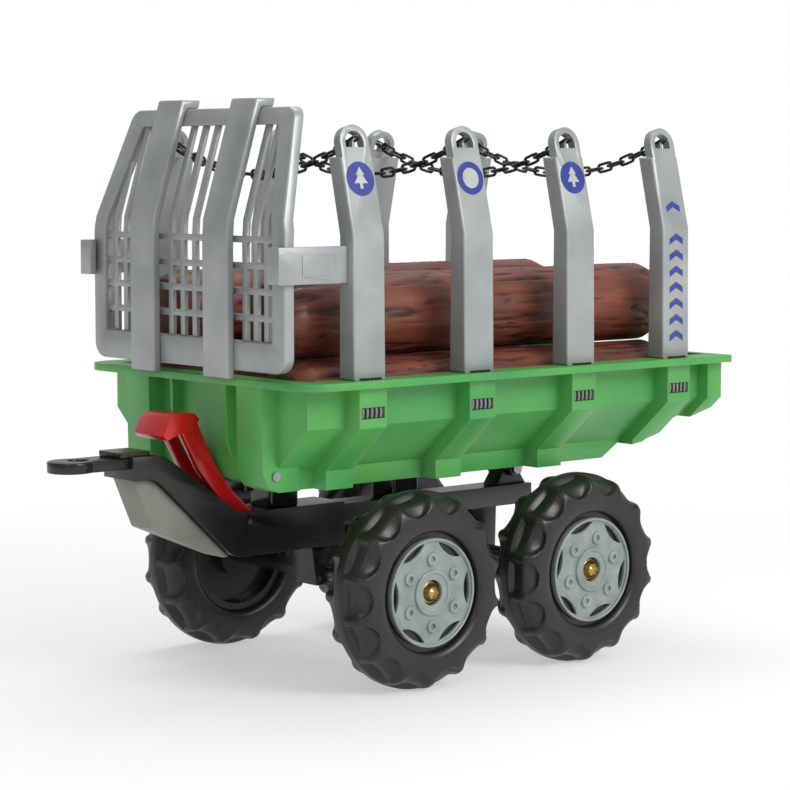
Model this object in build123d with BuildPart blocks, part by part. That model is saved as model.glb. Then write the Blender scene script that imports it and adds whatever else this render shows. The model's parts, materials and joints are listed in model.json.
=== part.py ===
# Twin-axle timber trailer for a ride-on pedal tractor, in millimetres.
# Towing eye at -X, tail at +X, left side at -Y, ground at z = 0, origin in the middle of the footprint.
import os
from math import atan, cos, sin

from build123d import *

os.makedirs("parts", exist_ok=True)

# ---- driving dimensions ----
tyre_radius = 110.0
tyre_width = 68.0
wheel_face_y = 206.0          # outer face of each tyre from the symmetry plane
front_axle_x = -58.6
wheelbase = 244.0
rim_radius = 60.0
axle_radius = 6.0
axle_running_clearance = 0.05
part_gap = 0.3                # clearance between pieces that only pass each other
wall = 4.0

tub_front_x = -239.0          # front edge of the tub's rim
tub_rear_x = 417.0
tub_half_width = 210.0
rim_top_z = 347.0
rim_height = 8.0
panel_half_width = 177.0
rib_half_width = 200.0
crease_z = 296.0
floor_half_width = 120.0
slant_foot_rise = 21.0        # height of the upright blocks under the slanted walls
tub_bottom_z = 225.0
tub_body_front_x = -212.0
tub_body_rear_x = 409.0
tail_start_x = 283.0

stake_count = 4
first_stake_x = -140.5
stake_pitch = 157.0
stake_width = 44.0
stake_depth = 26.0
stake_base_y = 182.0
stake_bend_z = 500.0
stake_shoulder_z = 583.0
stake_top_y = 155.0
stake_top_z = 618.0
loop_radius = 19.5
loop_ring = 7.0
loop_depth = 11.0
rib_width = 38.0

head_x = -242.0               # front face of the headboard's frame
head_bottom_z = 356.0
head_bend_z = 505.0
head_top_z = 636.0
head_lean = 38.0
head_half_width = 177.0
head_top_half_width = 148.0
head_depth = 14.0
head_border = 22.0
post_y = 68.0
post_width = 45.0
post_depth = 10.0
post_top_z = 646.0

beam_half_width = 28.0
beam_top_z = 191.0
beam_depth = 49.0
rear_beam_half_width = 20.0
rear_beam_top_z = 187.0
rear_beam_depth = 24.0
beam_step_x = -40.0
beam_end_x = 262.0
neck_top_z = 263.0
neck_depth = 25.0
neck_front_x = -331.0
eye_x = -378.0
eye_hole_radius = 11.0
tongue_tip_x = -417.0
tongue_half_width = 22.0
tongue_top_z = 262.0
tongue_thickness = 12.0

hinge_x = 235.0
hinge_z = 207.0
hinge_pin_radius = 4.0
lever_pivot_x = -175.0
lever_pivot_z = 180.0
lever_pin_radius = 3.0
lever_leg_y = 17.0
lever_leg_width = 9.0
grip_half_width = 28.0

log_radius = 47.5
log_start_x = -206.0
log_length = 588.0
lower_log_length = 570.0      # the two outer ones of the lower layer, short of the tail's slope

chain_sag = 36.0
chain_hook_z = 600.0
chain_sill_drop = 8.0         # opening's sill under the line of the hooks
link_length = 27.0
link_width = 13.0
link_wire = 3.6
link_slack = 0.5

axle_z = tyre_radius
axle_xs = {"front": front_axle_x, "rear": front_axle_x + wheelbase}
sides = {"left": -1, "right": 1}
stake_xs = [first_stake_x + stake_pitch * k for k in range(stake_count)]


def save(builder, name):
    builder.part.label = name
    export_step(builder.part, f"parts/{name}.step")


def at_side(y, x=0.0, z=0.0):
    # a plane whose sketch x runs along +X and sketch y along +Z, normal to -Y
    return Plane(origin=(x, y, z), x_dir=(1, 0, 0), z_dir=(0, -1, 0))


def across(x, y=0.0, z=0.0):
    # a plane whose sketch x runs along +Y and sketch y along +Z, normal to +X
    return Plane(origin=(x, y, z), x_dir=(0, 1, 0), z_dir=(1, 0, 0))


# ---- chassis beam: gooseneck, deep middle and slim tail in one blow moulding ----
neck_level_x = neck_front_x + 40.0
neck_foot_x = -190.0
beam_bottom_z = beam_top_z - beam_depth
lever_slot_half = lever_leg_y + lever_leg_width / 2 + 0.8
lever_slot_x = (-264.0, -152.0)
with BuildPart() as chassis_beam:
    with BuildSketch(at_side(beam_half_width)):
        with BuildLine():
            Polyline(
                (neck_front_x, neck_top_z),
                (neck_level_x, neck_top_z),
                (neck_foot_x, beam_top_z),
                (beam_step_x, beam_top_z),
                (beam_step_x, beam_bottom_z),
                (neck_foot_x - 8.0, beam_bottom_z),
                (neck_level_x - 10.0, neck_top_z - neck_depth),
                (neck_front_x, neck_top_z - neck_depth),
                close=True,
            )
        make_face()
    extrude(amount=2 * beam_half_width)
    bends = chassis_beam.edges().filter_by(Axis.Y)
    fillet(bends.filter_by_position(Axis.X, neck_level_x - 12.0, neck_foot_x + 1.0), 30.0)
    with BuildSketch(Plane.XY.offset(rear_beam_top_z - rear_beam_depth)):
        with Locations(((beam_step_x - 2.0 + beam_end_x) / 2, 0)):
            Rectangle(beam_end_x - beam_step_x + 2.0, 2 * rear_beam_half_width)
    extrude(amount=rear_beam_depth)
    # channel for the lever's legs, and the lever pin's hole
    with BuildSketch(at_side(lever_slot_half)):
        with BuildLine():
            Polyline(
                (lever_slot_x[0], neck_top_z + 1.0),
                (lever_slot_x[0], neck_top_z - 40.0),
                (lever_pivot_x - 26.0, lever_pivot_z - 14.0),
                (lever_slot_x[1], lever_pivot_z - 14.0),
                (lever_slot_x[1], neck_top_z + 1.0),
                close=True,
            )
        make_face()
    extrude(amount=2 * lever_slot_half, mode=Mode.SUBTRACT)
    with Locations(at_side(0, lever_pivot_x, lever_pivot_z)):
        Cylinder(lever_pin_radius, 3 * beam_half_width, mode=Mode.SUBTRACT)
save(chassis_beam, "chassis_beam")

# ---- towing tongue with its eye, and the clamp plate over its root ----
with BuildPart() as tongue:
    with BuildSketch(Plane.XY.offset(tongue_top_z - tongue_thickness)):
        with BuildLine():
            Line((neck_front_x, tongue_half_width), (eye_x, tongue_half_width - 2.0))
            ThreePointArc(
                (eye_x, tongue_half_width - 2.0),
                (tongue_tip_x, 0),
                (eye_x, 2.0 - tongue_half_width),
            )
            Line((eye_x, 2.0 - tongue_half_width), (neck_front_x, -tongue_half_width))
            Line((neck_front_x, -tongue_half_width), (neck_front_x, tongue_half_width))
        make_face()
        with Locations((eye_x - 4.0, 0)):
            Circle(eye_hole_radius, mode=Mode.SUBTRACT)
    extrude(amount=tongue_thickness)
save(tongue, "towing_tongue")

cover_thickness = 5.0
with BuildPart() as tongue_cover:
    with BuildSketch(Plane.XY.offset(neck_top_z)):
        with Locations((neck_front_x + 8.0, 0)):
            RectangleRounded(40.0, 2 * tongue_half_width, 4.0)
    extrude(amount=cover_thickness)
    with BuildSketch(Plane.XY.offset(tongue_top_z)):
        with Locations((neck_front_x - 6.0, 0)):
            Rectangle(12.0, 2 * tongue_half_width - 8.0)
    extrude(amount=neck_top_z - tongue_top_z)
save(tongue_cover, "tongue_cover")

# ---- keel skirt that closes the gooseneck's hollow underneath ----
with BuildPart() as keel:
    with BuildSketch(at_side(beam_half_width - 8.0)):
        with BuildLine():
            Polyline(
                (neck_front_x + 5.0, neck_top_z - neck_depth),
                (neck_level_x - 10.0, neck_top_z - neck_depth),
                (neck_foot_x - 8.0, beam_bottom_z),
                (neck_foot_x - 16.0, beam_bottom_z),
                (-302.0, 182.0),
                close=True,
            )
        make_face()
    extrude(amount=2 * (beam_half_width - 8.0))
    add(chassis_beam.part, mode=Mode.SUBTRACT)
save(keel, "neck_keel")

# ---- axles, their saddles and the push-on caps ----
core_half_width = 24.0
wheel_mid_y = wheel_face_y - tyre_width / 2
cap_plate = 5.0
axle_end_y = wheel_face_y - 4.0
for end, axle_x in axle_xs.items():
    with BuildPart() as axle:
        with Locations(at_side(0, axle_x, axle_z)):
            Cylinder(axle_radius, 2 * axle_end_y)
    save(axle, f"{end}_axle")

saddle_length = 46.0
saddle_bottom_z = axle_z - 14.0
with BuildPart() as saddles:
    for end, axle_x in axle_xs.items():
        under_z = rear_beam_top_z - rear_beam_depth if end == "rear" else beam_bottom_z
        with BuildSketch(at_side(rear_beam_half_width, axle_x)):
            with BuildLine():
                Polyline(
                    (-saddle_length / 2, under_z),
                    (-16.0, saddle_bottom_z),
                    (16.0, saddle_bottom_z),
                    (saddle_length / 2 - 5.0, under_z),
                    close=True,
                )
            make_face()
        extrude(amount=2 * rear_beam_half_width)
        with Locations(at_side(0, axle_x, axle_z)):
            Cylinder(axle_radius, 3 * beam_half_width, mode=Mode.SUBTRACT)
save(saddles, "axle_saddles")

spacer_inner_y = rear_beam_half_width
spacer_outer_y = wheel_mid_y - core_half_width - part_gap
with BuildPart() as spacers:
    for axle_x in axle_xs.values():
        for side in sides.values():
            mid_y = side * (spacer_inner_y + spacer_outer_y) / 2
            with Locations(at_side(mid_y, axle_x, axle_z)):
                Cylinder(axle_radius + 3.0, spacer_outer_y - spacer_inner_y)
                Cylinder(axle_radius, spacer_outer_y - spacer_inner_y, mode=Mode.SUBTRACT)
save(spacers, "axle_spacer_tubes")

# ---- wheels: lugged tyre, core, hub cap ----
lug_count = 20
lug_height = 6.0
ridge_half_width = 5.0
ridge_radius = tyre_radius - 0.6
tread_radius = tyre_radius - lug_height
bead_radius = rim_radius + 6.0
section_height = tread_radius - bead_radius
shoulder_drop = section_height * 16.0 / 38.0
shoulder_step = section_height * 4.0 / 38.0
bead_slope = section_height * 8.0 / 38.0
core_bore_radius = axle_radius + axle_running_clearance
cap_boss_radius = 25.0
cap_hole_radius = 14.0
bolt_ring_circle = 37.0
window_circle = 82.0
window_radius = 35.0


def wheel_plane(axle_x, y, side):
    # sketch plane facing outwards at the wheel
    return Plane(origin=(axle_x, y, axle_z), x_dir=(-side, 0, 0), z_dir=(0, side, 0))


for end, axle_x in axle_xs.items():
    for hand, side in sides.items():
        middle = wheel_plane(axle_x, side * wheel_mid_y, side)
        with BuildPart() as tyre:
            with BuildSketch(Plane(origin=middle.origin, x_dir=(0, 0, 1), z_dir=(-side, 0, 0))):
                with BuildLine():
                    half = tyre_width / 2
                    Polyline(
                        (bead_radius, -half + 8.0),
                        (bead_radius + bead_slope, -half),
                        (tread_radius - shoulder_drop, -half),
                        (tread_radius - shoulder_step, -half + 8.0),
                        (tread_radius, -ridge_half_width),
                        (ridge_radius, -ridge_half_width),
                        (ridge_radius, ridge_half_width),
                        (tread_radius, ridge_half_width),
                        (tread_radius - shoulder_step, half - 8.0),
                        (tread_radius - shoulder_drop, half),
                        (bead_radius + bead_slope, half),
                        (bead_radius, half - 8.0),
                        close=True,
                    )
                make_face()
            revolve(axis=Axis(middle.origin, (0, 1, 0)))
            # paddle lugs from the shoulder in to the centre ridge, staggered between the two sides
            for row in (-1, 1):
                lug_depth = tyre_width / 2 - 1.5
                offset = 0.0 if row < 0 else 180.0 / lug_count
                with BuildSketch(middle.offset(row * 1.0)):
                    with PolarLocations(tyre_radius - lug_height - 2.0, lug_count, start_angle=offset):
                        Rectangle(2 * (lug_height + 4.0), 17.0)
                    Circle(tyre_radius, mode=Mode.INTERSECT)
                    Circle(tread_radius - 14.0, mode=Mode.SUBTRACT)
                extrude(amount=row * lug_depth)
        save(tyre, f"tyre_{end}_{hand}")

        with BuildPart() as core:
            with BuildSketch(middle.offset(-core_half_width)):
                Circle(bead_radius)
                Circle(core_bore_radius, mode=Mode.SUBTRACT)
            extrude(amount=2 * core_half_width)
            with BuildSketch(middle.offset(-core_half_width)):
                Circle(bead_radius - 8.0)
                Circle(26.0, mode=Mode.SUBTRACT)
            extrude(amount=14.0, mode=Mode.SUBTRACT)
        save(core, f"wheel_core_{end}_{hand}")

        with BuildPart() as hub_cap:
            with BuildSketch(middle.offset(core_half_width)):
                Circle(rim_radius)
                Circle(cap_hole_radius, mode=Mode.SUBTRACT)
            extrude(amount=cap_plate)
            with BuildSketch(middle.offset(core_half_width + cap_plate)):
                Circle(rim_radius)
                Circle(rim_radius - 3.0, mode=Mode.SUBTRACT)
                Circle(cap_boss_radius)
                Circle(cap_boss_radius - 3.5, mode=Mode.SUBTRACT)
                with PolarLocations(bolt_ring_circle, 6, start_angle=90.0):
                    Circle(7.5)
                    Circle(3.0, mode=Mode.SUBTRACT)
            extrude(amount=3.0)
            with BuildSketch(middle.offset(core_half_width + cap_plate)):
                Circle(cap_boss_radius - 3.5)
                Circle(cap_hole_radius, mode=Mode.SUBTRACT)
            extrude(amount=1.5)
            # lens-shaped windows between the bolt rings, just inside the rim
            with BuildSketch(middle.offset(core_half_width + cap_plate)):
                with PolarLocations(window_circle, 6, start_angle=120.0):
                    Circle(window_radius)
                Circle(rim_radius - 4.5, mode=Mode.INTERSECT)
            extrude(amount=-cap_plate, mode=Mode.SUBTRACT)
        save(hub_cap, f"hub_cap_{end}_{hand}")

        with BuildPart() as axle_cap:
            with BuildSketch(middle.offset(core_half_width + part_gap)):
                Circle(cap_hole_radius - 1.5)
                Circle(axle_radius, mode=Mode.SUBTRACT)
            extrude(amount=2.0)
            with BuildSketch(middle.offset(core_half_width + part_gap + 2.0)):
                Circle(10.0)
            extrude(amount=axle_end_y - wheel_mid_y - core_half_width)
            with BuildSketch(middle.offset(core_half_width + part_gap + 2.0)):
                Circle(axle_radius)
            extrude(amount=axle_end_y - wheel_mid_y - core_half_width - part_gap - 2.0, mode=Mode.SUBTRACT)
        save(axle_cap, f"axle_cap_{end}_{hand}")

# ---- tipping hinge: bracket on the beam, pin, two lugs under the tub ----
bracket_half = 12.0
lug_inner_y = bracket_half + part_gap
lug_outer_y = lug_inner_y + 9.0
pin_boss = 10.0
with BuildPart() as hinge_bracket:
    with BuildSketch(at_side(bracket_half, hinge_x)):
        with BuildLine():
            Line((-24.0, rear_beam_top_z), (24.0, rear_beam_top_z))
            Line((24.0, rear_beam_top_z), (pin_boss, hinge_z))
            ThreePointArc((pin_boss, hinge_z), (0, hinge_z + pin_boss), (-pin_boss, hinge_z))
            Line((-pin_boss, hinge_z), (-24.0, rear_beam_top_z))
        make_face()
    extrude(amount=2 * bracket_half)
    with Locations(at_side(0, hinge_x, hinge_z)):
        Cylinder(hinge_pin_radius, 3 * bracket_half, mode=Mode.SUBTRACT)
save(hinge_bracket, "tip_hinge_bracket")

with BuildPart() as hinge_pin:
    with Locations(at_side(0, hinge_x, hinge_z)):
        Cylinder(hinge_pin_radius, 2 * (lug_outer_y + 3.0))
    for side in sides.values():
        with Locations(at_side(side * (lug_outer_y + 1.9), hinge_x, hinge_z)):
            Cylinder(hinge_pin_radius + 2.5, 3.0)
save(hinge_pin, "tip_hinge_pin")

with BuildPart() as hinge_lugs:
    for side in sides.values():
        lug_middle = side * (lug_inner_y + lug_outer_y) / 2
        with BuildSketch(at_side(lug_middle, hinge_x)):
            with BuildLine():
                Line((22.0, tub_bottom_z), (-22.0, tub_bottom_z))
                Line((-22.0, tub_bottom_z), (-pin_boss, hinge_z))
                ThreePointArc((-pin_boss, hinge_z), (0, hinge_z - pin_boss), (pin_boss, hinge_z))
                Line((pin_boss, hinge_z), (22.0, tub_bottom_z))
            make_face()
        extrude(amount=(lug_outer_y - lug_inner_y) / 2, both=True)
    with Locations(at_side(0, hinge_x, hinge_z)):
        Cylinder(hinge_pin_radius + axle_running_clearance, 4 * lug_outer_y, mode=Mode.SUBTRACT)
save(hinge_lugs, "tip_hinge_lugs")

# rubber rest pads that carry the lowered tub on the beam
rest_xs = (-120.0, 60.0)
with BuildPart() as rest_pads:
    for rest_x in rest_xs:
        seat_z = beam_top_z if rest_x < beam_step_x else rear_beam_top_z
        with BuildSketch(Plane.XY.offset(seat_z)):
            with Locations((rest_x, 0)):
                RectangleRounded(40.0, 2 * rear_beam_half_width, 4.0)
        extrude(amount=tub_bottom_z - part_gap - seat_z)
save(rest_pads, "tub_rest_pads")

# ---- red tipping lever: two legs, cross grip with a turned-down lip, and its pin ----
with BuildPart() as lever:
    for side in sides.values():
        with BuildSketch(at_side(side * lever_leg_y)):
            with BuildLine():
                Polyline(
                    (-278.0, 304.0),
                    (-246.0, 304.0),
                    (-220.0, 250.0),
                    (-197.0, 218.0),
                    (-162.0, lever_pivot_z + 6.0),
                    (-166.0, lever_pivot_z - 9.0),
                    (-182.0, lever_pivot_z - 9.0),
                    (-208.0, 203.0),
                    (-240.0, 243.0),
                    (-264.0, 286.0),
                    close=True,
                )
            make_face()
        extrude(amount=lever_leg_width / 2, both=True)
    with BuildSketch(at_side(grip_half_width)):
        with BuildLine():
            Polyline(
                (-284.0, 300.0),
                (-278.0, 306.0),
                (-250.0, 306.0),
                (-243.0, 299.0),
                (-250.0, 288.0),
                (-264.0, 286.0),
                (-286.0, 278.0),
                (-291.0, 283.0),
                close=True,
            )
        make_face()
    extrude(amount=2 * grip_half_width)
    with Locations(at_side(0, lever_pivot_x, lever_pivot_z)):
        Cylinder(lever_pin_radius + axle_running_clearance, 3 * grip_half_width, mode=Mode.SUBTRACT)
save(lever, "tipping_lever")

with BuildPart() as lever_pin:
    with Locations(at_side(0, lever_pivot_x, lever_pivot_z)):
        Cylinder(lever_pin_radius, 2 * beam_half_width)
save(lever_pin, "lever_pin")

# ---- tub: ribbed tray with slanted lower walls, front nose and rising tail ----
slant_foot_z = tub_bottom_z + slant_foot_rise


def tray_section(grow, top_z, bottom_z):
    # the tray's cross-section in the YZ plane, grown outwards
    side_y = panel_half_width + grow
    foot_y = floor_half_width + grow
    return [
        (-side_y, top_z),
        (-side_y, crease_z),
        (-foot_y, slant_foot_z),
        (-foot_y, bottom_z),
        (foot_y, bottom_z),
        (foot_y, slant_foot_z),
        (side_y, crease_z),
        (side_y, top_z),
    ]


def tray_side(grow, top_z, bottom_z):
    # the tray seen from the side: nose with a rounded foot, floor, step and tail
    nose_x = tub_body_front_x - grow
    return [
        (nose_x, top_z),
        (nose_x, bottom_z + 24.0),
        (nose_x + 7.0, bottom_z + 7.0),
        (nose_x + 24.0, bottom_z),
        (tail_start_x + grow, bottom_z),
        (tail_start_x + 26.0 + grow, bottom_z + 16.0),
        (325.0 + grow, bottom_z + 18.0),
        (tub_body_rear_x + grow, 284.0 - grow / 2),
        (tub_body_rear_x + grow, top_z),
    ]


def tray_solid(grow, x_from, x_to, top_z, bottom_z):
    with BuildPart() as block:
        with BuildSketch(across(x_from)):
            with BuildLine():
                Polyline(*tray_section(grow, top_z, bottom_z), close=True)
            make_face()
        extrude(amount=x_to - x_from)
        with BuildSketch(at_side(0)):
            with BuildLine():
                Polyline(*tray_side(min(grow, 3.0), top_z, bottom_z), close=True)
            make_face()
        extrude(amount=tub_half_width, both=True, mode=Mode.INTERSECT)
    return block.part


lip_z = rim_top_z - rim_height
rib_grow = rib_half_width - panel_half_width
pocket_width = stake_width - 10.0
pocket_depth = stake_depth - 8.0
pocket_bottom_z = 306.0
clip_z = 312.0
clip_size = (32.0, 12.0)
tray = tray_solid(0.0, -400.0, 500.0, lip_z, tub_bottom_z)
hollow = tray_solid(-wall, -400.0, 500.0, rim_top_z + 1.0, tub_bottom_z + wall)
ribs = [
    tray_solid(rib_grow, x - rib_width / 2, x + rib_width / 2, lip_z, tub_bottom_z) for x in stake_xs
]
corner_ribs = [
    tray_solid(rib_grow - 6.0, tub_body_rear_x - 22.0, tub_body_rear_x + 2.0, lip_z, tub_bottom_z)
]
nose_plate_y = (82.0, floor_half_width + 6.0)
with BuildPart() as tub:
    add(tray)
    for rib in ribs + corner_ribs:
        add(rib)
    # side cheeks of the nose, and a pair of fins under each headboard post
    for side in sides.values():
        plates = [(sum(nose_plate_y) / 2, nose_plate_y[1] - nose_plate_y[0], 22.0, tub_bottom_z)]
        plates += [(post_y - 18.0, 5.0, 14.0, 252.0), (post_y + 18.0, 5.0, 14.0, 252.0)]
        for plate_y, thick, reach, low_z in plates:
            front = tub_body_front_x - reach
            with BuildSketch(at_side(side * plate_y)):
                with BuildLine():
                    Polyline(
                        (front, lip_z),
                        (front + 2.0, low_z + 22.0),
                        (front + 9.0, low_z + 6.0),
                        (front + 24.0, low_z),
                        (tub_body_front_x + 30.0, low_z),
                        (tub_body_front_x + 30.0, lip_z),
                        close=True,
                    )
                make_face()
            extrude(amount=thick / 2, both=True)
    # rim flange with large front corners
    with BuildSketch(Plane.XY.offset(lip_z)):
        with Locations(((tub_front_x + tub_rear_x) / 2, 0)):
            Rectangle(tub_rear_x - tub_front_x, 2 * tub_half_width)
        fillet(vertices().group_by(Axis.X)[0], 38.0)
        fillet(vertices().group_by(Axis.X)[-1], 9.0)
    extrude(amount=rim_height)
    add(hollow, mode=Mode.SUBTRACT)
    # stake pockets down through the rim, and the clip windows through the ribs' faces
    with BuildSketch(Plane.XY.offset(rim_top_z)):
        with Locations(*[(x, side * stake_base_y) for x in stake_xs for side in sides.values()]):
            Rectangle(pocket_width, pocket_depth)
    extrude(amount=pocket_bottom_z - rim_top_z, mode=Mode.SUBTRACT)
    for side in sides.values():
        with Locations(*[(x, side * rib_half_width, clip_z) for x in stake_xs]):
            Box(clip_size[0], 24.0, clip_size[1], mode=Mode.SUBTRACT)
save(tub, "tub")

with BuildPart() as stake_clips:
    clip_depth = rib_half_width - 2.0 - (stake_base_y + pocket_depth / 2)
    for side in sides.values():
        clip_y = side * (stake_base_y + pocket_depth / 2 + clip_depth / 2)
        with Locations(*[(x, clip_y, clip_z) for x in stake_xs]):
            Box(clip_size[0] - 0.6, clip_depth, clip_size[1] - 0.6)
save(stake_clips, "stake_clips")

# ---- latch keeper under the tub's floor, just behind the lever's legs, and the nose bolts ----
keeper_x = (-178.0, -164.0)
keeper_drop = 12.0
with BuildPart() as latch_keeper:
    with BuildSketch(Plane.XY.offset(tub_bottom_z)):
        with Locations((sum(keeper_x) / 2, 0)):
            RectangleRounded(keeper_x[1] - keeper_x[0], 2 * lever_slot_half, 3.0)
    extrude(amount=-keeper_drop)
save(latch_keeper, "latch_keeper")

nose_bolt_x = tub_body_front_x - 3.0
nose_bolt_z = 243.0
nose_bolt_radius = 5.0
with BuildPart() as nose_bolts:
    for side in sides.values():
        with Locations(at_side(side * (nose_plate_y[1] + 1.25), nose_bolt_x, nose_bolt_z)):
            Cylinder(nose_bolt_radius, 2.5)
save(nose_bolts, "nose_bolts")

# ---- headboard: bent frame, two channel posts, slat grille, two side arms ----


def head_band(front, depth, z_from, z_to):
    # a slice of the leaning headboard between two depths behind its front face
    slope = head_lean / (head_top_z - head_bend_z)
    lean = slope * (z_to - head_bend_z)
    with BuildPart() as band:
        with BuildSketch(at_side(0, head_x + front)):
            with BuildLine():
                Polyline(
                    (0, z_from),
                    (0, head_bend_z - 10.0),
                    (slope * 5.0, head_bend_z + 12.0),
                    (lean, z_to),
                    (lean + depth, z_to),
                    (slope * 5.0 + depth, head_bend_z + 12.0),
                    (depth, head_bend_z - 10.0),
                    (depth, z_from),
                    close=True,
                )
            make_face()
        extrude(amount=tub_half_width, both=True)
    return band.part


def head_outline(border):
    side_y = head_half_width - border
    top_y = head_top_half_width - border
    return [
        (-side_y, head_bottom_z + border * 1.45),
        (side_y, head_bottom_z + border * 1.45),
        (side_y, head_bend_z),
        (top_y, head_top_z - border * 0.85),
        (-top_y, head_top_z - border * 0.85),
        (-side_y, head_bend_z),
    ]


frame_band = head_band(0, head_depth, head_bottom_z - 5.0, head_top_z + 5.0)
with BuildPart() as head_frame:
    with BuildSketch(across(head_x - 5.0)):
        for border, radius, mode in ((0, 18.0, Mode.ADD), (head_border, 10.0, Mode.SUBTRACT)):
            with BuildLine():
                Polyline(*head_outline(border), close=True)
            make_face(mode=mode)
    extrude(amount=80.0)
    round_edges = head_frame.edges().filter_by(Axis.X)
    fillet(round_edges.group_by(Axis.Z)[0], 18.0)
    fillet(head_frame.edges().filter_by(Axis.X).group_by(Axis.Z)[-1], 15.0)
    add(frame_band, mode=Mode.INTERSECT)
save(head_frame, "headboard_frame")

post_band = head_band(-post_depth, post_depth, rim_top_z, post_top_z)
post_hollow = head_band(-post_depth + wall, post_depth, rim_top_z - 1.0, post_top_z - wall)
post_hook = head_band(0, 16.0, rim_top_z, post_top_z)
for hand, side in sides.items():
    with BuildPart() as post:
        with BuildSketch(across(head_x - 30.0)):
            with Locations((side * post_y, (rim_top_z + post_top_z) / 2)):
                Rectangle(post_width, post_top_z - rim_top_z)
        extrude(amount=120.0)
        add(post_band, mode=Mode.INTERSECT)
        with BuildSketch(across(head_x - 30.0)) as channel:
            with Locations((side * post_y, (rim_top_z + post_top_z) / 2 - wall)):
                Rectangle(post_width - 2 * wall, post_top_z - rim_top_z)
        channel_block = extrude(channel.sketch, amount=120.0, mode=Mode.PRIVATE)
        add(channel_block & post_hollow, mode=Mode.SUBTRACT)
        with BuildSketch(across(head_x - 30.0)) as hook:
            with Locations((side * post_y, (head_top_z + part_gap + post_top_z) / 2)):
                Rectangle(post_width, post_top_z - head_top_z - part_gap)
        hook_block = extrude(hook.sketch, amount=120.0, mode=Mode.PRIVATE)
        add(hook_block & post_hook)
    save(post, f"headboard_post_{hand}")

bar_zs = (413.0, 441.0, 468.0, 496.0)
slat_ys = (-140.0, -121.0, -102.0, -33.0, -11.0, 11.0, 33.0, 102.0, 121.0, 140.0)
grille_front = 5.0
with BuildPart() as grille:
    with BuildSketch(across(head_x - 5.0)):
        with Locations(*[(y, (head_bottom_z + head_top_z) / 2) for y in slat_ys]):
            Rectangle(8.0, head_top_z - head_bottom_z)
        with Locations(*[(0, z) for z in bar_zs]):
            Rectangle(2 * head_half_width, 7.0)
        with BuildLine():
            Polyline(*head_outline(head_border), close=True)
        make_face(mode=Mode.INTERSECT)
    extrude(amount=80.0)
    add(head_band(grille_front, 5.0, head_bottom_z, head_top_z), mode=Mode.INTERSECT)
save(grille, "headboard_grille")

arm_z = (450.5, 489.5)
arm_inner_y = head_half_width + 1.0
arm_outer_y = arm_inner_y + 11.0
arm_rear_x = first_stake_x - stake_width / 2
for hand, side in sides.items():
    with BuildPart() as arm:
        with BuildSketch(Plane.XY.offset(arm_z[0])):
            with BuildLine():
                Polyline(
                    (head_x - 13.0, side * arm_outer_y),
                    (arm_rear_x, side * arm_outer_y),
                    (arm_rear_x, side * arm_inner_y),
                    (head_x - 5.0, side * arm_inner_y),
                    (head_x - 5.0, side * (head_half_width - 12.0)),
                    (head_x - 13.0, side * (head_half_width - 12.0)),
                    close=True,
                )
            make_face()
        extrude(amount=arm_z[1] - arm_z[0])
        with Locations((head_x + 40.0, side * arm_outer_y, sum(arm_z) / 2)):
            Box(44.0, 3.0, 22.0)
    save(arm, f"headboard_arm_{hand}")

# ---- stakes: tenon, body that leans in above the bend, arch loop with a chain hook ----
shoulder_share = (stake_shoulder_z - stake_bend_z) / (stake_top_z - stake_bend_z)
shoulder_y = stake_base_y + shoulder_share * (stake_top_y - stake_base_y)
outer_bend_y = stake_base_y + stake_depth / 2 - 2.0
outer_shoulder_y = shoulder_y + stake_depth / 2 - 3.0
lean_angle = atan((outer_bend_y - outer_shoulder_y) / (stake_shoulder_z - stake_bend_z))
# heights along the leaning face, measured up from the bend
loop_centre_up = (stake_top_z - stake_bend_z - loop_radius) / cos(lean_angle)
loop_foot_up = (stake_shoulder_z - stake_bend_z) / cos(lean_angle) - 14.0
hook_up = (chain_hook_z - stake_bend_z + loop_depth / 2 * sin(lean_angle)) / cos(lean_angle)
sill_up = hook_up - chain_sill_drop
hook_y = outer_bend_y - hook_up * sin(lean_angle) - loop_depth / 2 * cos(lean_angle)
opening_half = loop_radius - loop_ring
hook_width = 3.0
hook_depth = 6.0


def leaning_face(x, side):
    # outer face of a stake above its bend, sketch y running up it
    return Plane(
        origin=(x, side * outer_bend_y, stake_bend_z),
        x_dir=(-side, 0, 0),
        z_dir=(0, side * cos(lean_angle), sin(lean_angle)),
    )


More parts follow.
